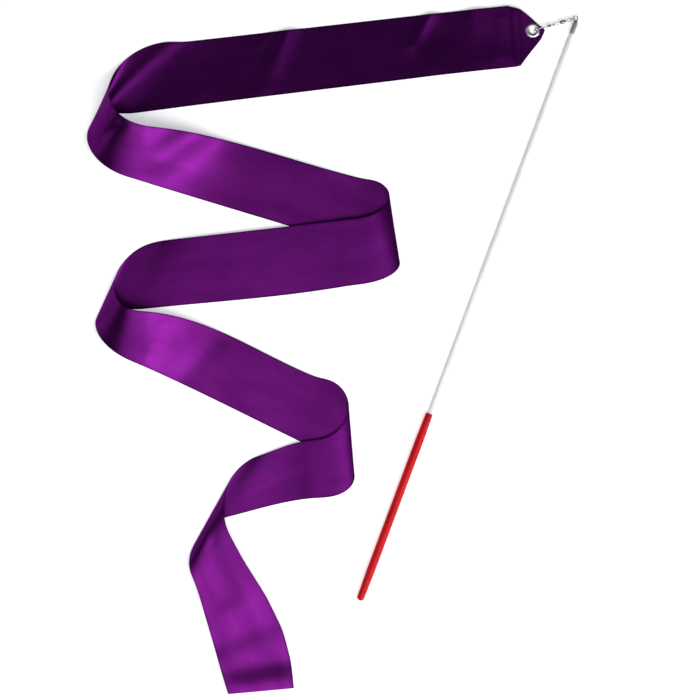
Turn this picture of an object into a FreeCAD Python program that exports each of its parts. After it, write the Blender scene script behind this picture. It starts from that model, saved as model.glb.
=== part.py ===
import FreeCAD, Part

import math
import os

V = FreeCAD.Vector

# ---------------------------------------------------------------------------
# Driving dimensions, millimetres and degrees
# ---------------------------------------------------------------------------

# The wand lies on the floor. Its length runs from the butt of the grip to the
# top of the wire eye at the tip.
WAND_LENGTH = 460.0
WAND_TURN = -20.5            # turn of the wand's axis from +Y, about +Z
BUTT_X = 20.0                # centre of the butt end
BUTT_Y = -184.6
WAND_Z = 3.1                 # height of the wand's axis over the floor

# Grip: a moulded plastic sleeve, thicker in the middle, closed at the butt
GRIP_LENGTH = 147.0
GRIP_R_MIDDLE = 3.1
GRIP_R_END = 2.7
GRIP_STRAIGHT_START = 22.0   # the middle is a plain cylinder
GRIP_STRAIGHT_END = 128.0
GRIP_BUTT_WALL = 5.0
GRIP_BUTT_ROUND = 1.6
GRIP_LIP_ROUND = 0.4

# Rod: fibreglass, with a thinner spigot at the tip
ROD_R = 2.0
ROD_GAP = 0.02               # radial gap of the rod in the grip and ferrule
ROD_END = 442.6
ROD_SHOULDER = 0.6           # length of the cone down to the spigot
SPIGOT_R = 1.7
SPIGOT_END = 449.0

# Ferrule: a metal tube crimped over the spigot and the eye's shank
FERRULE_START = 446.2
FERRULE_END = 455.8
FERRULE_R = 2.2
FERRULE_TOP_R = 1.95
FERRULE_TAPER_START = 455.2
FERRULE_GROOVES = 8
FERRULE_GROOVE_WIDTH = 0.45
FERRULE_GROOVE_DEPTH = 0.22
FERRULE_GROOVE_MARGIN = 0.8  # plain band at each end of the grooves

# Tip eye: one wire bent to a round eye with two legs in the ferrule
EYE_WIRE_R = 0.45
EYE_LOOP_R = 1.6             # radius of the loop's centre line
EYE_SIDE = -1.2              # the loop leans to the ribbon's side
EYE_LEG_SIDE = 0.46
EYE_LEG_REACH = 0.98         # most of the loop's radius that a leg stands out
EYE_SHANK_START = 449.4
EYE_SHANK_BORE_R = 0.96

# Link chain from the tip eye to the ribbon. Distances run along the chain
# from the rear eye's end wire, towards the tip eye.
CHAIN_Z = WAND_Z
RING_WIRE_R = 0.35
RING_LOOP_R = 1.75
RING_BEHIND_HOOK = 0.85      # the ring's centre, behind the tip eye's wire
RING_AHEAD_OF_EYE = 0.95     # the same, ahead of the front eye's end wire
SWIVEL_WIRE_R = 0.35
SWIVEL_EYE_HALF_WIDTH = 1.25
SWIVEL_EYE_TAPER = 0.75      # the half width's share where the wires turn in
SWIVEL_THROAT_LENGTH = 0.7
SWIVEL_THROAT_HALF = 0.25
SWIVEL_COLLAR_R = 0.62
SWIVEL_COLLAR_LENGTH = 0.3
SWIVEL_COLLAR_BACK = 0.1
FRONT_EYE_LENGTH = 2.6
REAR_EYE_LENGTH = 3.0
BARREL_START_T = 4.9
BARREL_END_T = 9.5
BARREL_R = 1.5
BARREL_NECK_R = 0.95
BARREL_BORE_R = 0.42
BARREL_CAVITY_R = 0.95
BARREL_WALL = 0.75
STEM_HEAD_R = 0.75
STEM_HEAD_LENGTH = 0.5
STEM_HEAD_GAP = 0.08

# Snap: a long wire loop that stands on edge and holds the grommet
REAR_EYE_X = 162.9           # the rear eye's end wire, where the snap hangs
REAR_EYE_Y = 239.9
GROMMET_PIN_X = 148.55       # the snap's wire inside the grommet
GROMMET_PIN_Y = 235.85
SNAP_WIRE_R = 0.4
SNAP_LOW_Z = 0.6
SNAP_HIGH_Z = 4.3
SNAP_LEAD = 0.65             # the snap's front bend lies this far back
SNAP_FREE_LEG_T = -3.0       # end of the short lower leg, inside the clasp
GATE_END_T = -3.5
GATE_GAP = 0.06
CLASP_FRONT_T = -1.9
CLASP_BACK_T = -4.3
CLASP_HALF_WIDTH = 0.75
CLASP_WALL = 0.25
CLASP_BOTTOM_Z = 0.15

# Grommet: a flanged eyelet rolled over a washer behind the ribbon
GROMMET_X = 147.7
GROMMET_Y = 235.6
GROMMET_R = 5.25
GROMMET_HOLE_R = 2.25
GROMMET_WALL = 0.4
GROMMET_FLANGE_RISE = 0.9
WASHER_THICKNESS = 0.35
ROLL_THICKNESS = 0.2
ROLL_REACH = 0.7             # how far the rolled rim spreads over the washer

# Ribbon: one satin strip, 50 mm wide, laid in a zigzag of six runs
RIBBON_THICKNESS = 0.4
HEAD_LAYER = 0.45
HEAD_FRONT_Z = 2.15          # underside of the head's front layer
FLOOR_GAP = 0.2              # centre of the strip over the floor, at rest

# Outline of the pointed head, from the strip's upper edge round to its lower
HEAD_TOP = (129.0, 254.0)
HEAD_BOTTOM = (134.5, 208.6)
HEAD_POINT = [
    (138.5, 251.5),
    (144.5, 247.0),
    (152.5, 239.6),
    (156.0, 237.4),
    (156.6, 235.6),
    (154.0, 229.5),
    (144.0, 217.0),
    (138.5, 209.4),
]

# The five soft folds. Each one has a line where the strip starts to rise, the
# outermost line of the fold, and the line where it has turned over on top.
# Every line runs from the strip's upper edge to its lower edge. rise is the
# height of the upper and the lower edge there. A loop comes back over itself;
# a twist turns over as it goes on.
FOLDS = [
    {
        "path": "loop",
        "entry": ((-111.0, 227.4), (-150.5, 174.3)),
        "outer": ((-162.5, 202.0), (-181.5, 156.5)),
        "exit": ((-138.0, 164.0), (-146.5, 126.0)),
        "rise": (25.0, 14.0),
    },
    {
        "path": "loop",
        "entry": ((22.5, 126.5), (14.5, 77.5)),
        "outer": ((42.5, 111.5), (51.0, 64.0)),
        "exit": ((14.5, 96.5), (13.0, 47.5)),
        "rise": (7.0, 5.2),
    },
    {
        "path": "loop",
        "entry": ((-128.0, 80.5), (-147.0, 29.5)),
        "outer": ((-161.0, 51.5), (-175.5, 18.5)),
        "exit": ((-136.5, 28.5), (-142.0, -10.5)),
        "rise": (16.5, 11.0),
    },
    {
        "path": "loop",
        "entry": ((-10.5, -20.5), (-15.0, -72.0)),
        "outer": ((12.5, -43.0), (17.0, -93.0)),
        "exit": ((-13.0, -66.5), (-13.0, -109.0)),
        "rise": (5.2, 5.0),
    },
    {
        "path": "twist",
        "entry": ((-59.0, -79.5), (-86.5, -125.5)),
        "outer": ((-77.5, -99.5), (-104.5, -148.0)),
        "exit": ((-78.5, -130.5), (-102.3, -169.5)),
        "rise": (8.5, 5.5),
    },
]
FOLD_RISES = (0.33, 0.85)    # the shares of a fold between which it rises
# How far the upper and the lower edge of each run bow towards +Y, a third of
# the way along it, and how high they stand off the floor at its middle
BOWS = [(0.3, 0.3), (4.5, 0.0), (0.0, -1.5), (6.0, 0.5), (2.0, 1.5)]
LIFTS = [(0.0, 8.0), (2.5, 0.0), (3.0, 0.0), (2.0, 0.0), (2.0, 0.0)]
# Lines across the last run: each edge's X, Y and height
TAIL = [
    ((-66.0, -154.0, 7.5), (-98.5, -180.5, 4.0)),
    ((-49.0, -181.0, 6.5), (-94.0, -196.0, 2.8)),
    ((-36.5, -207.0, 3.0), (-86.5, -222.0, 3.0)),
    ((-30.5, -230.0, 0.8), (-82.0, -238.0, 1.4)),
    ((-28.5, -249.5, 1.8), (-77.0, -254.0, 1.0)),
]
FOLD_STEPS = 8               # sections round each fold
RUN_STEPS = 6                # sections along each run
RUN_SETTLE = 0.50            # share of a run over which it sinks to the floor
RUN_SETTLE_POWER = 2.0


# ---------------------------------------------------------------------------
# Helpers
# ---------------------------------------------------------------------------

def save(shape, node):
    if not shape.isValid() or not shape.isClosed():
        raise ValueError(node + " is not a valid closed solid")
    shape.exportStep("parts/" + node + ".step")
    print(node, "volume", round(shape.Volume, 2))


def lathe(profile, start, axis):
    """Solid of revolution. profile lists (distance along axis, radius)."""
    direction = V(axis)
    direction.normalize()
    across = direction.cross(V(0, 0, 1))
    if across.Length < 0.1:
        across = V(1, 0, 0)
    across.normalize()
    points = []
    for along, radius in profile:
        points.append(start + direction * along + across * radius)
    points.append(points[0])
    face = Part.Face(Part.makePolygon(points))
    return face.revolve(start, direction, 360)


def wire_solid(edges, radius):
    """Round wire swept along a chain of tangent edges."""
    path = Part.Wire(edges)
    first = edges[0]
    start = first.valueAt(first.FirstParameter)
    tangent = first.tangentAt(first.FirstParameter)
    circle = Part.Wire(Part.makeCircle(radius, start, tangent))
    return path.makePipeShell([circle], True, False)


def line(a, b):
    return Part.LineSegment(a, b).toShape()


def arc(a, middle, b):
    return Part.Arc(a, middle, b).toShape()


def wand_place(shape):
    """Turn a shape built along +Y from the butt into its lying position."""
    placed = shape.copy()
    placed.rotate(V(0, 0, 0), V(0, 0, 1), WAND_TURN)
    placed.translate(V(BUTT_X, BUTT_Y, WAND_Z))
    return placed


def unit(a, b):
    step = b - a
    step.normalize()
    return step


# ---------------------------------------------------------------------------
# Wand
# ---------------------------------------------------------------------------

def make_rod():
    profile = [
        (GRIP_BUTT_WALL, 0),
        (GRIP_BUTT_WALL, ROD_R),
        (ROD_END - ROD_SHOULDER, ROD_R),
        (ROD_END, SPIGOT_R),
        (SPIGOT_END, SPIGOT_R),
        (SPIGOT_END, 0),
    ]
    return lathe(profile, V(0, 0, 0), V(0, 1, 0))


def make_grip():
    bore = ROD_R + ROD_GAP
    profile = [
        (0, 0),
        (0, GRIP_R_END - GRIP_BUTT_ROUND),
        (0.3 * GRIP_BUTT_ROUND, GRIP_R_END - 0.45 * GRIP_BUTT_ROUND),
        (GRIP_BUTT_ROUND, GRIP_R_END),
        (GRIP_STRAIGHT_START, GRIP_R_MIDDLE),
        (GRIP_STRAIGHT_END, GRIP_R_MIDDLE),
        (GRIP_LENGTH - GRIP_LIP_ROUND, GRIP_R_END),
        (GRIP_LENGTH, GRIP_R_END - GRIP_LIP_ROUND),
        (GRIP_LENGTH, bore),
        (GRIP_BUTT_WALL, bore),
        (GRIP_BUTT_WALL, 0),
    ]
    return lathe(profile, V(0, 0, 0), V(0, 1, 0))


def make_ferrule():
    bore = SPIGOT_R + ROD_GAP
    profile = [
        (FERRULE_START, bore),
        (FERRULE_START, FERRULE_R),
        (FERRULE_TAPER_START, FERRULE_R),
        (FERRULE_END, FERRULE_TOP_R),
        (FERRULE_END, EYE_SHANK_BORE_R),
        (SPIGOT_END, EYE_SHANK_BORE_R),
        (SPIGOT_END, bore),
    ]
    tube = lathe(profile, V(0, 0, 0), V(0, 1, 0))
    groove_length = FERRULE_TAPER_START - FERRULE_START - 2 * FERRULE_GROOVE_MARGIN
    for number in range(FERRULE_GROOVES):
        corner = V(
            -FERRULE_GROOVE_WIDTH / 2,
            FERRULE_START + FERRULE_GROOVE_MARGIN,
            FERRULE_R - FERRULE_GROOVE_DEPTH,
        )
        groove = Part.makeBox(FERRULE_GROOVE_WIDTH, groove_length, FERRULE_R, corner)
        turn = 360.0 * (number + 0.5) / FERRULE_GROOVES
        groove.rotate(V(0, 0, 0), V(0, 1, 0), turn)
        tube = tube.cut(groove)
    return tube


def make_tip_eye():
    centre = V(EYE_SIDE, EYE_CENTRE_Y, 0)
    loop = Part.makeTorus(EYE_LOOP_R, EYE_WIRE_R, centre, V(0, 0, 1))
    eye = loop
    for side in (-EYE_LEG_SIDE, EYE_LEG_SIDE):
        # Each leg ends where it meets the loop's centre line
        reach = min(side - EYE_SIDE, EYE_LEG_REACH * EYE_LOOP_R)
        top = centre.y - math.sqrt(EYE_LOOP_R ** 2 - reach ** 2)
        leg = Part.makeCylinder(
            EYE_WIRE_R,
            top - EYE_SHANK_START,
            V(side, EYE_SHANK_START, 0),
            V(0, 1, 0),
        )
        eye = eye.fuse(leg)
    return eye.removeSplitter()


# ---------------------------------------------------------------------------
# Link chain
# ---------------------------------------------------------------------------

EYE_CENTRE_Y = WAND_LENGTH - EYE_LOOP_R - EYE_WIRE_R
EYE_CENTRE = wand_place(Part.Vertex(EYE_SIDE, EYE_CENTRE_Y, 0)).Point
CHAIN_START = V(REAR_EYE_X, REAR_EYE_Y, CHAIN_Z)
CHAIN_ALONG = unit(CHAIN_START, EYE_CENTRE)
CHAIN_REACH = (EYE_CENTRE - CHAIN_START).Length - EYE_LOOP_R
RING_T = CHAIN_REACH - RING_BEHIND_HOOK
FRONT_EYE_T = RING_T - RING_AHEAD_OF_EYE
CHAIN_ACROSS = V(-CHAIN_ALONG.y, CHAIN_ALONG.x, 0)
SNAP_ALONG = unit(V(GROMMET_PIN_X, GROMMET_PIN_Y, CHAIN_Z), CHAIN_START)
SNAP_ACROSS = V(-SNAP_ALONG.y, SNAP_ALONG.x, 0)
SNAP_REACH = math.hypot(REAR_EYE_X - GROMMET_PIN_X, REAR_EYE_Y - GROMMET_PIN_Y)


def chain_point(along, across=0.0):
    return CHAIN_START + CHAIN_ALONG * along + CHAIN_ACROSS * across


def snap_point(along, height):
    base = V(REAR_EYE_X, REAR_EYE_Y, 0)
    return base + SNAP_ALONG * along + V(0, 0, height)


def make_jump_ring():
    return Part.makeTorus(RING_LOOP_R, RING_WIRE_R, chain_point(RING_T), CHAIN_ACROSS)


def make_swivel_eye(end_t, bend_t, barrel_t, side):
    """Teardrop wire eye, a stem through the barrel's end and a head inside.

    side is 1 when the barrel lies on the eye's positive side.
    """
    half = SWIVEL_EYE_HALF_WIDTH
    narrow = half * SWIVEL_EYE_TAPER
    round_t = end_t + side * half
    throat_t = bend_t + side * SWIVEL_THROAT_LENGTH
    bow = arc(chain_point(round_t, half), chain_point(end_t), chain_point(round_t, -half))
    eye = wire_solid([bow], SWIVEL_WIRE_R)
    for sign in (-1, 1):
        shoulder = chain_point(round_t, sign * half)
        bend = chain_point(bend_t, sign * narrow)
        throat = chain_point(throat_t, sign * SWIVEL_THROAT_HALF)
        eye = eye.fuse(wire_solid([line(shoulder, bend)], SWIVEL_WIRE_R))
        eye = eye.fuse(wire_solid([line(bend, throat)], SWIVEL_WIRE_R))
        for corner in (shoulder, bend):
            eye = eye.fuse(Part.makeSphere(SWIVEL_WIRE_R, corner))
    along = CHAIN_ALONG * side
    head_t = barrel_t + side * (BARREL_WALL + STEM_HEAD_GAP)
    stem_length = abs(head_t + side * STEM_HEAD_LENGTH - throat_t)
    stem = Part.makeCylinder(SWIVEL_WIRE_R, stem_length, chain_point(throat_t), along)
    collar_start = chain_point(throat_t - side * SWIVEL_COLLAR_BACK)
    collar = Part.makeCylinder(SWIVEL_COLLAR_R, SWIVEL_COLLAR_LENGTH, collar_start, along)
    head = Part.makeCylinder(STEM_HEAD_R, STEM_HEAD_LENGTH, chain_point(head_t), along)
    return eye.fuse(stem).fuse(collar).fuse(head).removeSplitter()


def make_barrel():
    length = BARREL_END_T - BARREL_START_T
    outer = [
        (0, BARREL_BORE_R),
        (0, BARREL_NECK_R),
        (0.12 * length, 0.8 * BARREL_R),
        (0.3 * length, BARREL_R),
        (0.44 * length, BARREL_R),
        (0.5 * length, 0.88 * BARREL_R),
        (0.56 * length, BARREL_R),
        (0.7 * length, BARREL_R),
        (0.88 * length, 0.8 * BARREL_R),
        (length, BARREL_NECK_R),
        (length, BARREL_BORE_R),
        (length - BARREL_WALL, BARREL_BORE_R),
        (length - BARREL_WALL, BARREL_CAVITY_R),
        (BARREL_WALL, BARREL_CAVITY_R),
        (BARREL_WALL, BARREL_BORE_R),
    ]
    return lathe(outer, chain_point(BARREL_START_T), CHAIN_ALONG)


def make_snap_wire():
    """Far bend in the grommet, upper leg, front bend and short lower leg."""
    bend = (SNAP_HIGH_Z - SNAP_LOW_Z) / 2
    middle_z = (SNAP_HIGH_Z + SNAP_LOW_Z) / 2
    far_t = -SNAP_REACH + bend
    front_t = -SNAP_LEAD
    far_low = snap_point(far_t, SNAP_LOW_Z)
    far_high = snap_point(far_t, SNAP_HIGH_Z)
    front_high = snap_point(front_t, SNAP_HIGH_Z)
    front_low = snap_point(front_t, SNAP_LOW_Z)
    edges = [
        arc(far_low, snap_point(far_t - bend, middle_z), far_high),
        line(far_high, front_high),
        arc(front_high, snap_point(front_t + bend, middle_z), front_low),
        line(front_low, snap_point(SNAP_FREE_LEG_T, SNAP_LOW_Z)),
    ]
    return wire_solid(edges, SNAP_WIRE_R)


def make_snap_gate():
    """Springy lower leg that opens downwards to let the ribbon on."""
    bend = (SNAP_HIGH_Z - SNAP_LOW_Z) / 2
    start = snap_point(-SNAP_REACH + bend + GATE_GAP, SNAP_LOW_Z)
    return wire_solid([line(start, snap_point(GATE_END_T, SNAP_LOW_Z))], SNAP_WIRE_R)


def make_snap_clasp():
    """Sheet-metal channel, open below, crimped to the upper leg."""
    length = CLASP_FRONT_T - CLASP_BACK_T
    roof_z = SNAP_HIGH_Z + SNAP_WIRE_R
    outer = Part.makeBox(length, 2 * CLASP_HALF_WIDTH, roof_z + CLASP_WALL - CLASP_BOTTOM_Z)
    slot_width = 2 * (CLASP_HALF_WIDTH - CLASP_WALL)
    slot = Part.makeBox(
        length + 2,
        slot_width,
        roof_z - CLASP_BOTTOM_Z + 1,
        V(-1, CLASP_WALL, -1),
    )
    channel = outer.cut(slot)
    turn = math.degrees(math.atan2(SNAP_ALONG.y, SNAP_ALONG.x))
    channel.rotate(V(0, 0, 0), V(0, 0, 1), turn)
    corner = snap_point(CLASP_BACK_T, CLASP_BOTTOM_Z) - SNAP_ACROSS * CLASP_HALF_WIDTH
    channel.translate(corner)
    return channel


# ---------------------------------------------------------------------------
# Ribbon
# ---------------------------------------------------------------------------

def blend(a, b, share):
    return a + (b - a) * share


def level(point, height):
    return V(point[0], point[1], height)


def smooth_step(low, high, value):
    share = min(max((value - low) / (high - low), 0.0), 1.0)
    return share * share * (3 - 2 * share)


def fold_lines(fold):
    """Lines across the strip, round one fold.

    Each edge of a loop follows half an ellipse, each edge of a twist one
    smooth curve through its three points.
    """
    rows = []
    for step in range(FOLD_STEPS + 1):
        angle = math.pi * step / FOLD_STEPS
        row = []
        for side in (0, 1):
            entry = V(fold["entry"][side][0], fold["entry"][side][1], 0)
            outer = V(fold["outer"][side][0], fold["outer"][side][1], 0)
            leave = V(fold["exit"][side][0], fold["exit"][side][1], 0)
            if fold["path"] == "loop":
                middle = (entry + leave) * 0.5
                point = middle + (entry - leave) * (0.5 * math.cos(angle))
                point = point + (outer - middle) * math.sin(angle)
            else:
                share = step / FOLD_STEPS
                point = entry * ((1 - share) * (1 - 2 * share))
                point = point + outer * (4 * share * (1 - share))
                point = point + leave * (share * (2 * share - 1))
            rise = fold["rise"][side] - FLOOR_GAP
            point.z = FLOOR_GAP + rise * smooth_step(*FOLD_RISES, step / FOLD_STEPS)
            row.append(point)
        rows.append(row)
    return rows


def run_lines(start, end, bows, lifts):
    """Lines across a run that sinks from the fold behind it to the floor."""
    rows = []
    for step in range(1, RUN_STEPS):
        share = step / RUN_STEPS
        left = max(0.0, 1 - share / RUN_SETTLE)
        bow = share * (1 - share) ** 2 / (1 / 3 * (2 / 3) ** 2)
        loose = 1 - (2 * share - 1) ** 4
        row = []
        for side in (0, 1):
            along = end[side] - start[side]
            square = V(-along.y, along.x, 0)
            square.normalize()
            if square.y < 0:
                square = square * -1
            point = blend(start[side], end[side], share) + square * (bows[side] * bow)
            sunk = (start[side].z - FLOOR_GAP) * left ** RUN_SETTLE_POWER
            point.z = FLOOR_GAP + sunk + lifts[side] * loose
            row.append(point)
        rows.append(row)
    return rows


def strip_solid(rows, normals):
    """Thin solid through lines across the strip."""
    sections = []
    for row, normal in zip(rows, normals):
        lift = normal * (RIBBON_THICKNESS / 2)
        a, b = row
        corners = [a + lift, b + lift, b - lift, a - lift, a + lift]
        sections.append(Part.makePolygon(corners))
    solid = None
    for first, second in zip(sections[:-1], sections[1:]):
        piece = Part.makeLoft([first, second], True, True)
        solid = piece if solid is None else solid.fuse(piece)
    return solid.removeSplitter()


def strip_normals(rows):
    """Normal of the strip at each line, kept on one face of the cloth."""
    normals = []
    for number, row in enumerate(rows):
        before = rows[max(number - 1, 0)]
        after = rows[min(number + 1, len(rows) - 1)]
        along = (after[0] + after[1]) - (before[0] + before[1])
        across = row[1] - row[0]
        normal = across.cross(along)
        normal.normalize()
        normals.append(normal)
    return normals


def ribbon_nodes():
    """All lines of the strip, with the range of lines of each node."""
    head_z = HEAD_FRONT_Z + RIBBON_THICKNESS / 2
    rows = [[level(HEAD_TOP, head_z), level(HEAD_BOTTOM, head_z)]]
    spans = []
    for number, fold in enumerate(FOLDS, start=1):
        turned = fold_lines(fold)
        first = len(rows) - 1
        rows += run_lines(rows[-1], turned[0], BOWS[number - 1], LIFTS[number - 1])
        rows += turned
        spans.append(("ribbon_run_%d" % number, first, len(rows) - len(turned)))
        spans.append(("ribbon_fold_%d" % number, len(rows) - len(turned), len(rows) - 1))
    first = len(rows) - 1
    last_run = len(FOLDS) + 1
    rows += [[V(*upper), V(*lower)] for upper, lower in TAIL]
    spans.append(("ribbon_run_%d" % last_run, first, len(rows) - 1))
    return rows, spans


def head_plate(points, low_z):
    corners = [V(x, y, low_z) for x, y in points]
    corners.append(corners[0])
    plate = Part.Face(Part.makePolygon(corners)).extrude(V(0, 0, HEAD_LAYER))
    hole_r = GROMMET_HOLE_R + GROMMET_WALL + 0.02
    hole = Part.makeCylinder(hole_r, 4, V(GROMMET_X, GROMMET_Y, low_z - 1))
    return plate.cut(hole)


def make_head():
    return head_plate([HEAD_TOP] + HEAD_POINT + [HEAD_BOTTOM], HEAD_FRONT_Z)


def make_head_fold():
    """The two corners of the strip, turned behind the point."""
    return head_plate(HEAD_POINT, HEAD_FRONT_Z - HEAD_LAYER)


def make_grommet():
    """Flanged eyelet. Its barrel is rolled out over the washer behind."""
    centre = V(GROMMET_X, GROMMET_Y, 0)
    top = HEAD_FRONT_Z + HEAD_LAYER
    low = HEAD_FRONT_Z - HEAD_LAYER - WASHER_THICKNESS
    wall = GROMMET_HOLE_R + GROMMET_WALL
    profile = [
        (low - ROLL_THICKNESS, GROMMET_HOLE_R),
        (low - ROLL_THICKNESS, wall + ROLL_REACH),
        (low, wall + ROLL_REACH),
        (low, wall),
        (top, wall),
        (top, GROMMET_R),
        (top + 0.35 * GROMMET_FLANGE_RISE, GROMMET_R),
        (top + 0.8 * GROMMET_FLANGE_RISE, GROMMET_R - 0.7),
        (top + GROMMET_FLANGE_RISE, 0.5 * (GROMMET_R + wall) + 0.2),
        (top + 0.85 * GROMMET_FLANGE_RISE, wall + 0.35),
        (top + 0.4 * GROMMET_FLANGE_RISE, GROMMET_HOLE_R),
    ]
    return lathe(profile, centre, V(0, 0, 1))


def make_washer():
    low = HEAD_FRONT_Z - HEAD_LAYER - WASHER_THICKNESS
    centre = V(GROMMET_X, GROMMET_Y, 0)
    bore = GROMMET_HOLE_R + GROMMET_WALL + 0.02
    profile = [
        (low, bore),
        (low, GROMMET_R),
        (low + WASHER_THICKNESS, GROMMET_R),
        (low + WASHER_THICKNESS, bore),
    ]
    return lathe(profile, centre, V(0, 0, 1))


# ---------------------------------------------------------------------------
# All nodes
# ---------------------------------------------------------------------------

os.makedirs("parts", exist_ok=True)

save(wand_place(make_rod()), "rod")
save(wand_place(make_grip()), "grip_sleeve")
save(wand_place(make_ferrule()), "tip_ferrule")
save(wand_place(make_tip_eye()), "tip_eye")

save(make_jump_ring(), "jump_ring")
front_bend_t = FRONT_EYE_T - FRONT_EYE_LENGTH
save(make_swivel_eye(FRONT_EYE_T, front_bend_t, BARREL_END_T, -1), "swivel_eye_front")
save(make_barrel(), "swivel_barrel")
save(make_swivel_eye(0.0, REAR_EYE_LENGTH, BARREL_START_T, 1), "swivel_eye_rear")

save(make_snap_wire(), "snap_wire")
save(make_snap_gate(), "snap_gate")
save(make_snap_clasp(), "snap_clasp")

save(make_grommet(), "grommet")
save(make_washer(), "grommet_washer")
save(make_head(), "ribbon_head")
save(make_head_fold(), "ribbon_head_fold")

all_rows, all_spans = ribbon_nodes()
all_normals = strip_normals(all_rows)
strip_length = 0.0
for before, after in zip(all_rows[:-1], all_rows[1:]):
    strip_length += ((after[0] + after[1] - before[0] - before[1]) * 0.5).Length
print("strip length", round(strip_length, 1))
for node, first, last in all_spans:
    node_rows = all_rows[first:last + 1]
    node_normals = all_normals[first:last + 1]
    save(strip_solid(node_rows, node_normals), node)
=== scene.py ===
import math

import bpy
import numpy as np
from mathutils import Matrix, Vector


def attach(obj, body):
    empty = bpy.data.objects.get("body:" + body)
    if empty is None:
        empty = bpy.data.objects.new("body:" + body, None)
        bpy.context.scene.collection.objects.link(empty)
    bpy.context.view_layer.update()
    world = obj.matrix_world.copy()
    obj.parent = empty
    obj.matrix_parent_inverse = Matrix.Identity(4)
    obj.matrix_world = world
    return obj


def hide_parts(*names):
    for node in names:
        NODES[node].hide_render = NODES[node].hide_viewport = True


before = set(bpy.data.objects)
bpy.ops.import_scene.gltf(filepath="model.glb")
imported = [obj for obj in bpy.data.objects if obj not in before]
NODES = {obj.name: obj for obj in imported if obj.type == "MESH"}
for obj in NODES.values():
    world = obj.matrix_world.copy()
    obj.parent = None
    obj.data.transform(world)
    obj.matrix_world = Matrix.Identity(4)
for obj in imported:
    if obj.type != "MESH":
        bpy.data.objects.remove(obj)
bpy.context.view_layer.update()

# ---------------------------------------------------------------------------
# The ribbon's sizes, in millimetres
# ---------------------------------------------------------------------------

MM = 0.001                   # one millimetre in metres
RIBBON_WIDTH = 50.0
RIBBON_THICKNESS = 0.30
SELVEDGE_AND_SHADE = (0.6, 1.6)        # from the edge: all selvedge colour with painted edge shade, then none
FLOOR_GAP = 0.2              # middle of the cloth over the floor
HEAD_Z = 2.375               # middle of the head's front layer
CORNER_Z = 1.925             # middle of the corners turned behind the point
GROMMET_CENTRE = (147.7, 235.6)
GROMMET_HOLE = 3.0           # radius of the hole cut for the eyelet's neck

# The strip's five soft folds. Every line runs from the strip's upper edge to
# its lower edge: entry is where the fold starts, outer its outermost line, and
# exit where the strip has turned over on top. rise is the two edges' height at
# the exit. A loop comes back over itself; a twist turns over as it goes on.
FOLDS = [
    {
        "path": "loop",
        "entry": ((-111.0, 227.4), (-150.5, 174.3)),
        "outer": ((-162.5, 202.0), (-181.5, 156.5)),
        "exit": ((-138.0, 164.0), (-146.5, 126.0)),
        "rise": (25.0, 14.0),
    },
    {
        "path": "loop",
        "entry": ((22.5, 126.5), (14.5, 77.5)),
        "outer": ((42.5, 111.5), (51.0, 64.0)),
        "exit": ((14.5, 96.5), (13.0, 47.5)),
        "rise": (7.0, 5.2),
    },
    {
        "path": "loop",
        "entry": ((-128.0, 80.5), (-147.0, 29.5)),
        "outer": ((-161.0, 51.5), (-175.5, 18.5)),
        "exit": ((-136.5, 28.5), (-142.0, -10.5)),
        "rise": (16.5, 11.0),
    },
    {
        "path": "loop",
        "entry": ((-10.5, -20.5), (-15.0, -72.0)),
        "outer": ((12.5, -43.0), (17.0, -93.0)),
        "exit": ((-13.0, -66.5), (-13.0, -109.0)),
        "rise": (5.2, 5.0),
    },
    {
        "path": "twist",
        "entry": ((-59.0, -79.5), (-86.5, -125.5)),
        "outer": ((-77.5, -99.5), (-104.5, -148.0)),
        "exit": ((-78.5, -130.5), (-102.3, -169.5)),
        "rise": (8.5, 5.5),
    },
]
FOLD_STEPS = 10
FOLD_RISES = (0.33, 0.85)    # the shares of a fold between which it rises

# How far each run's upper and lower edges bow towards +Y after a fold
BOWS = [(0.3, 0.3), (4.5, 0.0), (0.0, -1.5), (6.0, 0.5), (2.0, 1.5)]
# How high each run's two edges stand off the floor where it lies loosest
LIFTS = [(0.0, 8.0), (2.5, 0.0), (3.0, 0.0), (2.0, 0.0), (2.0, 0.0)]
RUN_STEPS = 12
RUN_SETTLE = 0.50            # the share of a run in which it sinks to the floor
RUN_SETTLE_POWER = 2.0
RUN_LOOSE_POWER = 4          # higher keeps a run loose nearer to its two ends
BOW_PEAK = 27 / 4            # makes the most of share * (1 - share)^2 one

# Lines across the last run, as (x, y, height) of its two edges
TAIL = [
    ((-66.0, -154.0, 7.5), (-98.5, -180.5, 4.0)),
    ((-49.0, -181.0, 6.5), (-94.0, -196.0, 2.8)),
    ((-36.5, -207.0, 3.0), (-86.5, -222.0, 3.0)),
    ((-30.5, -230.0, 0.8), (-82.0, -238.0, 1.4)),
    ((-28.5, -249.5, 1.8), (-77.0, -254.0, 1.0)),
]

# The pointed head's outline, from its first line to its blunt tip
HEAD_TOP = (129.0, 254.0)
HEAD_BOTTOM = (134.5, 208.6)
HEAD_UPPER = [HEAD_TOP, (138.5, 251.5), (144.5, 247.0), (152.5, 239.6), (156.0, 237.4)]
HEAD_LOWER = [HEAD_BOTTOM, (138.5, 209.4), (144.0, 217.0), (154.0, 229.5), (156.6, 235.6)]
HEAD_STEPS = 26

# The corners turned behind the point meet along this seam
CORNER_SEAM = [(138.6, 231.5), (147.7, 235.4), (156.1, 236.4)]
CORNER_STEPS = 16
CORNER_COLUMNS = 14
CORNER_TURNS = 4             # steps round the fold, from the back to the front
CORNER_GAP = 0.15            # half the gap between the two corners
CORNER_SETBACK = 1.5         # from edge to fold, in radii of the fold
SHORTEST = 0.1               # keeps a direction defined where two lines meet

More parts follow.
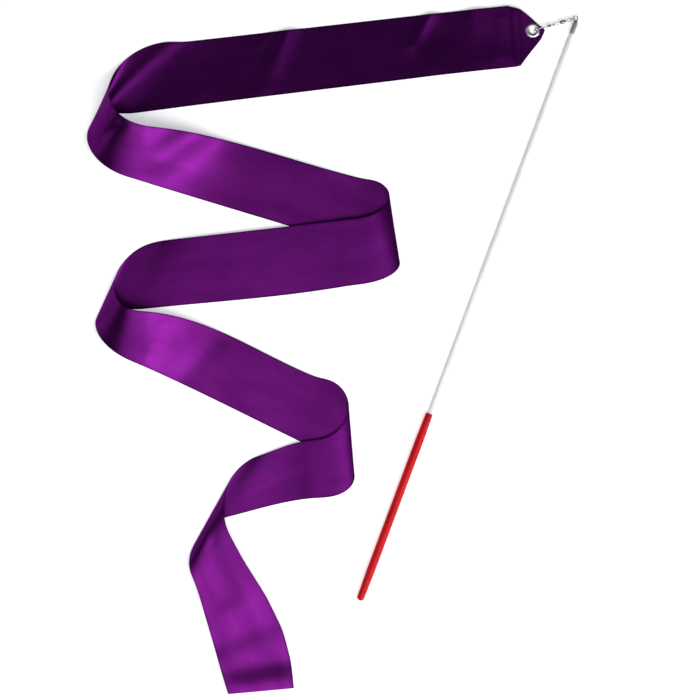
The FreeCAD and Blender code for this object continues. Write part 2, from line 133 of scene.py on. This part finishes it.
# Soft creases, in millimetres along and across the strip from the head's
# upper corner: where each starts and ends, its half width, and its height at
# the two ends. A crease below zero is a hollow.
WRINKLES = [
    # head and first run
    ((-5, 4), (-3, 44), 3.6, 1.3, 1.3),
    ((6, 10), (8, 40), 4.0, 0.6, 0.6),
    ((-14, 52), (50, 52), 20.0, 3.0, 3.0),
    ((26, 0), (28, 36), 7.5, 2.2, 0.2),
    ((62, 0), (73, 22), 6.0, 3.3, 0.9),
    ((73, 24), (57, 42), 5.5, 0.9, 0.8),
    ((178, 0), (173, 40), 8.0, 3.7, 0.9),
    ((191, 0), (195, 14), 5.0, 0.9, 0.1),
    ((272, 2), (290, 38), 7.5, 0.9, 0.9),
    # second run, as it comes out of the first fold
    ((326, 50), (352, 6), 3.5, -0.9, -0.9),
    ((408, 0), (386, 26), 14.0, 3.4, 2.8),
    # fourth run, as it comes out of the third fold
    ((852, 44), (862, 4), 6.0, 0.5, 0.4),
    ((880, 48), (904, 4), 8.0, -0.6, -0.4),
    # last run
    ((1178, 22), (1212, 27), 11.0, -1.1, -1.1),
    ((1238, 4), (1246, 46), 13.0, -1.6, -1.6),
    ((1282, 10), (1284, 40), 12.0, 1.6, 1.6),
]

ROW_PITCH = 1.6              # between rows of the cloth's mesh
COLUMNS = 33                 # points across the cloth
SMOOTHING = 4.0              # how softly the strip turns
SHARP_EDGE = math.radians(50)


# ---------------------------------------------------------------------------
# Mesh and node helpers
# ---------------------------------------------------------------------------

def new_mesh(name, verts, faces, smooth=True):
    """A new object in the scene, from points in metres."""
    mesh = bpy.data.meshes.new(name)
    mesh.from_pydata([tuple(v) for v in verts], [], faces)
    mesh.validate()
    mesh.update()
    if smooth:
        mesh.shade_smooth()
    piece = bpy.data.objects.new(name, mesh)
    bpy.context.scene.collection.objects.link(piece)
    return piece


def new_material(name):
    material = bpy.data.materials.new(name)
    material.use_nodes = True
    tree = material.node_tree
    return material, tree, tree.nodes["Principled BSDF"]


def add_node(tree, kind, inputs=None, **settings):
    node = tree.nodes.new(kind)
    for key, value in settings.items():
        setattr(node, key, value)
    for key, value in (inputs or {}).items():
        node.inputs[key].default_value = value
    return node


def join(tree, start, start_socket, end, end_socket):
    tree.links.new(start.outputs[start_socket], end.inputs[end_socket])


def noise(tree, place, socket, inputs):
    """Noise texture that follows a coordinate."""
    node = add_node(tree, "ShaderNodeTexNoise", inputs)
    join(tree, place, socket, node, "Vector")
    return node


def ramp(tree, source, stops):
    """Colour that goes from the first stop to the last with a noise's value."""
    node = add_node(tree, "ShaderNodeValToRGB")
    elements = node.color_ramp.elements
    for element, (place, colour) in zip(elements, stops):
        element.position = place
        element.color = (*colour, 1.0)
    join(tree, source, "Fac", node, "Fac")
    return node


def uneven_roughness(tree, shader, source, low, high):
    """Roughness between low and high, as a noise's value goes from 0.3 to 0.7."""
    limits = {"From Min": 0.3, "From Max": 0.7, "To Min": low, "To Max": high}
    node = add_node(tree, "ShaderNodeMapRange", limits)
    join(tree, source, "Fac", node, "Value")
    join(tree, node, "Result", shader, "Roughness")


def relief(tree, shader, source, socket, strength, depth):
    """Bump from a height, depth metres deep."""
    node = add_node(tree, "ShaderNodeBump", {"Strength": strength, "Distance": depth})
    join(tree, source, socket, node, "Height")
    join(tree, node, "Normal", shader, "Normal")


# ---------------------------------------------------------------------------
# Materials
# ---------------------------------------------------------------------------

# Where a Mix node keeps its factor and its colours
MIX_FACTOR = 0
MIX_A = 6
MIX_B = 7
MIX_RESULT = 2


def satin_colour(tree, shader, uv, dark, light, selvedge_and_painted_shade):
    """A slight mottle, and a darker band along both edges: the woven selvedge, darkened further as
    painted edge shade.
    """
    mottle_map = add_node(tree, "ShaderNodeMapping", {"Scale": (22.0, 60.0, 1.0)})
    join(tree, uv, "UV", mottle_map, "Vector")
    mottle = noise(tree, mottle_map, "Vector", {"Scale": 1.0, "Detail": 4.0, "Roughness": 0.55})
    tone = ramp(tree, mottle, [(0.3, dark), (0.72, light)])

    # How far a point is from the strip's middle line
    split = add_node(tree, "ShaderNodeSeparateXYZ")
    join(tree, uv, "UV", split, "Vector")
    half_width = RIBBON_WIDTH * MM / 2
    middle = add_node(tree, "ShaderNodeMath", {1: half_width}, operation="SUBTRACT")
    join(tree, split, "Y", middle, 0)
    away = add_node(tree, "ShaderNodeMath", operation="ABSOLUTE")
    join(tree, middle, 0, away, 0)
    limits = {
        "From Min": half_width - SELVEDGE_AND_SHADE[1] * MM,
        "From Max": half_width - SELVEDGE_AND_SHADE[0] * MM,
        "To Min": 0.0,
        "To Max": 1.0,
    }
    edge = add_node(tree, "ShaderNodeMapRange", limits)
    join(tree, away, 0, edge, "Value")

    # Near both edges the colour turns to the selvedge colour, which also carries painted edge shade
    shaded = add_node(tree, "ShaderNodeMix", {MIX_B: (*selvedge_and_painted_shade, 1.0)}, data_type="RGBA")
    join(tree, edge, "Result", shaded, MIX_FACTOR)
    join(tree, tone, "Color", shaded, MIX_A)
    join(tree, shaded, MIX_RESULT, shader, "Base Color")


def satin_threads(tree, shader, uv, roughness):
    """Long fine warp threads along the strip, with weft ticks across it."""
    warp_map = add_node(tree, "ShaderNodeMapping", {"Scale": (90.0, 4200.0, 1.0)})
    join(tree, uv, "UV", warp_map, "Vector")
    warp = noise(tree, warp_map, "Vector", {"Scale": 1.0, "Detail": 2.0})
    weft = add_node(
        tree,
        "ShaderNodeTexWave",
        {"Scale": 420.0, "Distortion": 1.5, "Detail": 1.0, "Detail Scale": 3.0},
        wave_type="BANDS",
        bands_direction="X",
    )
    join(tree, uv, "UV", weft, "Vector")
    ticks = add_node(tree, "ShaderNodeMath", {1: 0.35}, operation="MULTIPLY")
    join(tree, weft, "Fac", ticks, 0)
    both = add_node(tree, "ShaderNodeMath", operation="ADD")
    join(tree, warp, "Fac", both, 0)
    join(tree, ticks, 0, both, 1)
    relief(tree, shader, both, 0, strength=0.10, depth=0.0001)
    uneven_roughness(tree, shader, warp, roughness - 0.04, roughness + 0.05)


def satin(name, dark, light, selvedge_and_painted_shade, roughness):
    """Warp-faced satin: a metallic sheen that the threads' direction stretches."""
    material, tree, shader = new_material(name)
    uv = add_node(tree, "ShaderNodeUVMap", uv_map="cloth")
    satin_colour(tree, shader, uv, dark, light, selvedge_and_painted_shade)
    satin_threads(tree, shader, uv, roughness)
    tangent = add_node(tree, "ShaderNodeTangent", direction_type="UV_MAP", uv_map="cloth")
    join(tree, tangent, "Tangent", shader, "Tangent")
    shader.inputs["Metallic"].default_value = 0.9
    shader.inputs["Anisotropic"].default_value = 0.4
    shader.inputs["Anisotropic Rotation"].default_value = 0.25
    shader.inputs["Specular Tint"].default_value = (0.50, 0.05, 0.55, 1.0)
    return material


def metal(name, colour, roughness, scratch=0.06, grime=0.35, scale=900.0):
    """Plated metal with fine scratches and a little tarnish.

    grime is how much darker the tarnish is; scale is its patches to a metre.
    """
    material, tree, shader = new_material(name)
    place = add_node(tree, "ShaderNodeTexCoord")
    stain = noise(tree, place, "Object", {"Scale": scale, "Detail": 5.0, "Roughness": 0.6})
    dull = tuple(c * (1 - grime) for c in colour)
    tone = ramp(tree, stain, [(0.32, dull), (0.62, colour)])
    join(tree, tone, "Color", shader, "Base Color")
    rub = noise(tree, place, "Object", {"Scale": scale * 4, "Detail": 3.0})
    uneven_roughness(tree, shader, rub, roughness, roughness + 0.14)
    relief(tree, shader, rub, "Fac", strength=scratch, depth=0.00004)
    shader.inputs["Metallic"].default_value = 1.0
    return material


def moulded(name, dark, light, roughness, shine, grain, glow):
    """Glossy plastic or gel coat with a faint flow mottle and orange peel.

    glow is how far red, green and blue light spread under the surface.
    """
    material, tree, shader = new_material(name)
    place = add_node(tree, "ShaderNodeTexCoord")
    flow = noise(tree, place, "Object", {"Scale": 60.0, "Detail": 3.0})
    tone = ramp(tree, flow, [(0.35, dark), (0.65, light)])
    join(tree, tone, "Color", shader, "Base Color")
    peel = noise(tree, place, "Object", {"Scale": 700.0, "Detail": 2.0})
    relief(tree, shader, peel, "Fac", strength=grain, depth=0.00005)
    uneven_roughness(tree, shader, peel, roughness, roughness + 0.08)
    shader.inputs["Subsurface Weight"].default_value = 0.9
    shader.inputs["Subsurface Radius"].default_value = glow
    shader.inputs["Subsurface Scale"].default_value = 0.004
    shader.inputs["Specular IOR Level"].default_value = shine
    return material


# ---------------------------------------------------------------------------
# The strip's path
# ---------------------------------------------------------------------------

def smooth_step(low, high, value):
    """0 up to low, 1 from high on, and a smooth rise between them."""
    share = min(max((value - low) / (high - low), 0.0), 1.0)
    return share * share * (3 - 2 * share)


def loop_point(entry, outer, leave, share):
    """Half an ellipse, from entry round outer and back to leave."""
    angle = math.pi * share
    middle = (entry + leave) / 2
    return middle + (entry - leave) / 2 * math.cos(angle) + (outer - middle) * math.sin(angle)


def twist_point(entry, outer, leave, share):
    """A parabola through entry, outer at its middle, and leave."""
    start = entry * (1 - share) * (1 - 2 * share)
    return start + outer * 4 * share * (1 - share) + leave * share * (2 * share - 1)


def fold_lines(fold):
    """Lines across a fold, from its entry to its exit."""
    path = {"loop": loop_point, "twist": twist_point}[fold["path"]]
    rows = []
    for step in range(FOLD_STEPS + 1):
        share = step / FOLD_STEPS
        row = []
        for side in (0, 1):
            bends = [np.array(fold[name][side]) for name in ("entry", "outer", "exit")]
            rise = (fold["rise"][side] - FLOOR_GAP) * smooth_step(*FOLD_RISES, share)
            row.append(np.append(path(*bends, share), FLOOR_GAP + rise))
        rows.append(row)
    return rows


def run_lines(start, end, bows, lifts):
    """Lines across a run: it sinks to the floor while its edges bow a little."""
    rows = []
    for step in range(1, RUN_STEPS):
        share = step / RUN_STEPS
        unsettled = max(0.0, 1 - share / RUN_SETTLE) ** RUN_SETTLE_POWER
        bow = BOW_PEAK * share * (1 - share) ** 2
        loose = 1 - (2 * share - 1) ** RUN_LOOSE_POWER
        row = []
        for side in (0, 1):
            along = end[side] - start[side]
            square = np.array([-along[1], along[0], 0.0]) / np.hypot(along[0], along[1])
            if square[1] < 0:
                square = -square
            point = start[side] + along * share + square * bows[side] * bow
            point[2] = FLOOR_GAP + (start[side][2] - FLOOR_GAP) * unsettled
            point[2] += lifts[side] * loose
            row.append(point)
        rows.append(row)
    return rows


def strip_rows():
    """Lines across the whole strip, from the head's first line to the tail."""
    rows = [[np.array([*HEAD_TOP, HEAD_Z]), np.array([*HEAD_BOTTOM, HEAD_Z])]]
    for fold, bows, lifts in zip(FOLDS, BOWS, LIFTS):
        turned = fold_lines(fold)
        rows += run_lines(rows[-1], turned[0], bows, lifts)
        rows += turned
    rows += [[np.array(upper), np.array(lower)] for upper, lower in TAIL]
    return np.array(rows)


def distance_along(points):
    steps = np.linalg.norm(np.diff(points, axis=0), axis=1)
    return np.concatenate([[0.0], np.cumsum(steps)])


def point_along(outline, share):
    """The point at a share of the way along a line of flat points."""
    points = np.array(outline)
    travelled = distance_along(points)
    wanted = share * travelled[-1]
    return np.array([np.interp(wanted, travelled, points[:, axis]) for axis in (0, 1)])


def resample(rows, pitch):
    """Even rows along the strip's centre line, both edges interpolated."""
    travelled = distance_along(rows.mean(axis=1))
    count = int(round(travelled[-1] / pitch)) + 1
    wanted = np.linspace(0.0, travelled[-1], count)
    out = np.empty((count, 2, 3))
    for side in (0, 1):
        for axis in range(3):
            out[:, side, axis] = np.interp(wanted, travelled, rows[:, side, axis])
    return out


def soften(rows, spread):
    """Gaussian smoothing along the strip, mirrored about its two ends."""
    reach = int(3 * spread) + 1
    offsets = np.arange(-reach, reach + 1)
    weights = np.exp(-0.5 * (offsets / spread) ** 2)
    weights /= weights.sum()
    before = 2 * rows[0] - rows[reach:0:-1]
    after = 2 * rows[-1] - rows[-2:-reach - 2:-1]
    padded = np.concatenate([before, rows, after])
    out = np.zeros_like(rows)
    for offset, weight in zip(offsets, weights):
        first = reach + offset
        out += weight * padded[first:first + len(rows)]
    return out


def head_rows():
    """Lines across the pointed head, from its blunt tip to the first line."""
    rows = []
    for step in range(HEAD_STEPS):
        share = step / HEAD_STEPS
        edges = [point_along(outline[::-1], share) for outline in (HEAD_UPPER, HEAD_LOWER)]
        rows.append([np.append(edge, HEAD_Z) for edge in edges])
    return np.array(rows)


# ---------------------------------------------------------------------------
# The ribbon's cloth
# ---------------------------------------------------------------------------

def across_rows(rows):
    """Fills rows of two edge points with COLUMNS points from edge to edge."""
    share = np.linspace(0.0, 1.0, COLUMNS)[None, :, None]
    return rows[:, None, 0] * (1 - share) + rows[:, None, 1] * share


def wrinkle_heights(flat):
    """Height of the soft creases at each point of the flat strip."""
    heights = np.zeros(flat.shape[:2])
    for start, end, width, start_height, end_height in WRINKLES:
        start = np.array(start, dtype=float)
        ridge = np.array(end) - start
        share = np.clip(((flat - start) @ ridge) / (ridge @ ridge), 0.0, 1.0)
        nearest = start + share[..., None] * ridge
        away = np.linalg.norm(flat - nearest, axis=2)
        height = start_height + (end_height - start_height) * share
        heights += height * np.exp(-(away / width) ** 2)
    return heights


def flat_places(head, strip):
    """Each point's place along and across the flat cloth, from the strip's corner."""
    along = distance_along(strip.mean(axis=1))
    across = np.linspace(0.0, RIBBON_WIDTH, COLUMNS)
    flat_strip = np.stack(np.meshgrid(along, across, indexing="ij"), axis=2)
    # The head is level, so its points only turn
    first = strip[0]
    down = first[1] - first[0]
    down = down[:2] / np.linalg.norm(down)
    ahead = np.array([down[1], -down[0]])
    offset = across_rows(head)[..., :2] - first[0][:2]
    flat_head = np.stack([offset @ ahead, offset @ down], axis=2)
    return np.concatenate([flat_head, flat_strip])


def build_ribbon():
    """The cloth's points in space, and the same points on the flat strip."""
    even = resample(strip_rows(), ROW_PITCH)
    strip = resample(soften(even, SMOOTHING / ROW_PITCH), ROW_PITCH)
    head = head_rows()
    grid = across_rows(np.concatenate([head, strip]))
    flat = flat_places(head, strip)
    grid[..., 2] = np.maximum(grid[..., 2] + wrinkle_heights(flat), FLOOR_GAP)
    return grid, flat


def turned_corner(edge, side):
    """A corner of the strip, turned behind the point along its slanted edge.

    edge runs to the tip. The grid runs from the seam out to the edge, then
    half way round the fold up to the head's front layer.
    """
    reach = (HEAD_Z - CORNER_Z) / 2
    rows = []
    for step in range(CORNER_STEPS + 1):
        share = step / CORNER_STEPS
        seam = point_along(CORNER_SEAM, share)
        fold = point_along(edge, share)
        outward = (fold - seam) / max(np.linalg.norm(fold - seam), SHORTEST)
        seam = seam + outward * CORNER_GAP
        flat_end = fold - outward * CORNER_SETBACK * reach
        row = []
        for column in range(CORNER_COLUMNS):
            plan = seam + (flat_end - seam) * column / (CORNER_COLUMNS - 1)
            row.append([*plan, CORNER_Z])
        for turn in range(1, CORNER_TURNS + 1):
            angle = math.pi * turn / CORNER_TURNS
            plan = flat_end + outward * reach * math.sin(angle)
            row.append([*plan, CORNER_Z + reach * (1 - math.cos(angle))])
        rows.append(row if side > 0 else row[::-1])
    grid = np.array(rows)
    return grid, grid[..., :2] - np.array(HEAD_TOP)


def cloth_normals(grid):
    along = np.gradient(grid, axis=0)
    across = np.gradient(grid, axis=1)
    normals = np.cross(along, across)
    return normals / np.linalg.norm(normals, axis=2, keepdims=True)


def cloth_faces(kept):
    """Faces and material slots of a closed cloth over the squares that are kept.

    Face A's points come first and face B's after them, in the same order.
    Every edge that only one kept square has is closed by a thin strip.
    """
    rows, columns = kept.shape[0] + 1, kept.shape[1] + 1
    half = rows * columns
    faces = []
    slots = []
    borders = {}
    for row, column in np.argwhere(kept).tolist():
        a = row * columns + column
        corners = [a, a + columns, a + columns + 1, a + 1]
        faces.append(corners)
        slots.append(0)
        faces.append([corner + half for corner in reversed(corners)])
        slots.append(1)
        for start, end in zip(corners, corners[1:] + corners[:1]):
            if (end, start) in borders:
                del borders[(end, start)]
            else:
                borders[(start, end)] = True
    for start, end in borders:
        faces.append([end, start, start + half, end + half])
        slots.append(1)
    return faces, slots


def cloth_piece(name, grid, flat, materials):
    """Closed thin cloth over a grid of points, with the eyelet's hole cut out.

    flat holds each point's place on the flat cloth. Face A takes the first
    material, face B and the cut edges the second.
    """
    offset = cloth_normals(grid) * RIBBON_THICKNESS / 2
    side_a = (grid + offset).reshape(-1, 3)
    side_b = (grid - offset).reshape(-1, 3)
    middles = (grid[:-1, :-1] + grid[1:, :-1] + grid[:-1, 1:] + grid[1:, 1:]) / 4
    kept = np.linalg.norm(middles[..., :2] - GROMMET_CENTRE, axis=2) > GROMMET_HOLE
    faces, slots = cloth_faces(kept)

    piece = new_mesh(name, np.concatenate([side_a, side_b]) * MM, faces)
    mesh = piece.data
    mesh.set_sharp_from_angle(angle=SHARP_EDGE)
    for material in materials:
        mesh.materials.append(material)
    mesh.polygons.foreach_set("material_index", slots)
    layer = mesh.uv_layers.new(name="cloth")
    loop_vertex = np.empty(len(mesh.loops), dtype=int)
    mesh.loops.foreach_get("vertex_index", loop_vertex)
    places = flat.reshape(-1, 2)[loop_vertex % len(side_a)] * MM
    layer.data.foreach_set("uv", places.ravel())
    return piece


# Each satin's third colour is its selvedge, darkened further as painted edge shade
satin_face = satin(
    "satin_face",
    dark=(0.083, 0.0046, 0.105),
    light=(0.121, 0.0078, 0.152),
    selvedge_and_painted_shade=(0.058, 0.003, 0.073),
    roughness=0.38,
)
satin_back = satin(
    "satin_back",
    dark=(0.097, 0.0054, 0.119),
    light=(0.140, 0.0092, 0.171),
    selvedge_and_painted_shade=(0.065, 0.003, 0.080),
    roughness=0.36,
)

ribbon_points, ribbon_flat = build_ribbon()
ribbon = cloth_piece("ribbon_satin", ribbon_points, ribbon_flat, [satin_face, satin_back])
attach(ribbon, "ribbon")
strip_names = ("ribbon_run", "ribbon_fold")
strip_nodes = [name for name in NODES if name.startswith(strip_names)]
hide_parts("ribbon_head", *strip_nodes)

for name, edge, side in (("upper", HEAD_UPPER[1:], 1), ("lower", HEAD_LOWER[1:], -1)):
    points, flat = turned_corner(edge, side)
    corner = cloth_piece("turned_corner_" + name, points, flat, [satin_back, satin_face])
    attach(corner, "ribbon")
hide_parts("ribbon_head_fold")

# ---------------------------------------------------------------------------
# CAD pieces that keep their shape
# ---------------------------------------------------------------------------

red_plastic = moulded(
    "red_plastic",
    dark=(0.60, 0.004, 0.010),
    light=(0.70, 0.008, 0.016),
    roughness=0.30,
    shine=0.12,
    grain=0.05,
    glow=(1.0, 0.02, 0.02),
)
white_rod = moulded(
    "white_gelcoat",
    dark=(0.78, 0.77, 0.79),
    light=(0.84, 0.83, 0.85),
    roughness=0.32,
    shine=0.4,
    grain=0.04,
    glow=(1.0, 0.95, 1.0),
)
ferrule_steel = metal("ferrule_steel", colour=(0.80, 0.79, 0.81), roughness=0.26)
wire_steel = metal("wire_steel", colour=(0.55, 0.55, 0.56), roughness=0.24)
bright_wire = metal("bright_wire", colour=(0.80, 0.80, 0.80), roughness=0.20)
barrel_steel = metal("barrel_steel", colour=(0.40, 0.40, 0.41), roughness=0.28)
clasp_steel = metal("clasp_steel", colour=(0.42, 0.42, 0.43), roughness=0.32)
eyelet_chrome = metal(
    "eyelet_chrome",
    colour=(0.88, 0.84, 0.87),
    roughness=0.28,
    scratch=0.03,
    grime=0.12,
    scale=500.0,
)

FINISHES = {
    "rod": white_rod,
    "grip_sleeve": red_plastic,
    "tip_ferrule": ferrule_steel,
    "tip_eye": wire_steel,
    "jump_ring": wire_steel,
    "swivel_eye_front": wire_steel,
    "swivel_barrel": barrel_steel,
    "swivel_eye_rear": bright_wire,
    "snap_wire": wire_steel,
    "snap_gate": wire_steel,
    "snap_clasp": clasp_steel,
    "grommet": eyelet_chrome,
    "grommet_washer": eyelet_chrome,
}
for node_name, finish in FINISHES.items():
    for material_slot in NODES[node_name].material_slots:
        material_slot.material = finish

# ---------------------------------------------------------------------------
# Floor, light and camera, in metres
# ---------------------------------------------------------------------------

FLOOR_SIZE = 6.0
CAMERA_HEIGHT = 2.4
VIEW_WIDTH = 0.517           # width of floor in the picture
VIEW_CENTRE = (0.0129, 0.0)
SENSOR_WIDTH = 36.0          # mm
WHITE = (1.0, 1.0, 1.0, 1.0)


def build_floor():
    """White paper that glows a little, so that it stays near white."""
    half = FLOOR_SIZE / 2
    outline = [(-half, -half, 0), (half, -half, 0), (half, half, 0), (-half, half, 0)]
    floor = new_mesh("floor", outline, [(0, 1, 2, 3)], smooth=False)
    material, _, shader = new_material("floor_paper")
    shader.inputs["Base Color"].default_value = (0.90, 0.90, 0.91, 1.0)
    shader.inputs["Roughness"].default_value = 0.9
    shader.inputs["Emission Color"].default_value = WHITE
    shader.inputs["Emission Strength"].default_value = 0.5
    floor.data.materials.append(material)


def area_light(name, place, target, size, power):
    data = bpy.data.lights.new(name, "AREA")
    data.shape = "RECTANGLE"
    data.size = size[0]
    data.size_y = size[1]
    data.energy = power
    lamp = bpy.data.objects.new(name, data)
    lamp.location = place
    aim = Vector(target) - Vector(place)
    lamp.rotation_euler = aim.to_track_quat("-Z", "Y").to_euler()
    lamp.visible_camera = False
    bpy.context.scene.collection.objects.link(lamp)


def build_room():
    """A dim, slightly blue room, with a white backdrop behind the floor."""
    world = bpy.data.worlds.new("studio")
    bpy.context.scene.world = world
    world.use_nodes = True
    air = world.node_tree
    room = air.nodes["Background"]
    room.inputs["Color"].default_value = (0.88, 1.05, 1.35, 1.0)
    room.inputs["Strength"].default_value = 0.05
    backdrop = add_node(air, "ShaderNodeBackground", {"Color": WHITE, "Strength": 0.9})
    seen = add_node(air, "ShaderNodeLightPath")
    pick = add_node(air, "ShaderNodeMixShader")
    join(air, seen, "Is Camera Ray", pick, 0)
    join(air, room, "Background", pick, 1)
    join(air, backdrop, "Background", pick, 2)
    join(air, pick, "Shader", air.nodes["World Output"], "Surface")


def build_camera():
    """Looks straight down, from high up, on the middle of the picture."""
    data = bpy.data.cameras.new("camera")
    data.sensor_width = SENSOR_WIDTH
    data.lens = SENSOR_WIDTH * CAMERA_HEIGHT / VIEW_WIDTH
    camera = bpy.data.objects.new("camera", data)
    camera.location = (*VIEW_CENTRE, CAMERA_HEIGHT)
    bpy.context.scene.collection.objects.link(camera)
    bpy.context.scene.camera = camera


build_floor()
area_light("key", place=(0.68, -0.42, 1.20), target=(0.0, 0.0, 0.0), size=(0.6, 0.6), power=6.5)
area_light("overhead", place=(0.0, -0.95, 1.9), target=(0.0, -0.3, 0.0), size=(1.8, 1.4), power=23.0)
area_light("side", place=(1.45, -0.80, 0.50), target=(0.0, 0.0, 0.05), size=(0.9, 0.8), power=9.0)
area_light("fill", place=(-1.40, 0.55, 0.55), target=(0.0, 0.0, 0.05), size=(1.2, 0.6), power=2.0)
build_room()
build_camera()
bpy.context.scene.view_settings.view_transform = "Standard"
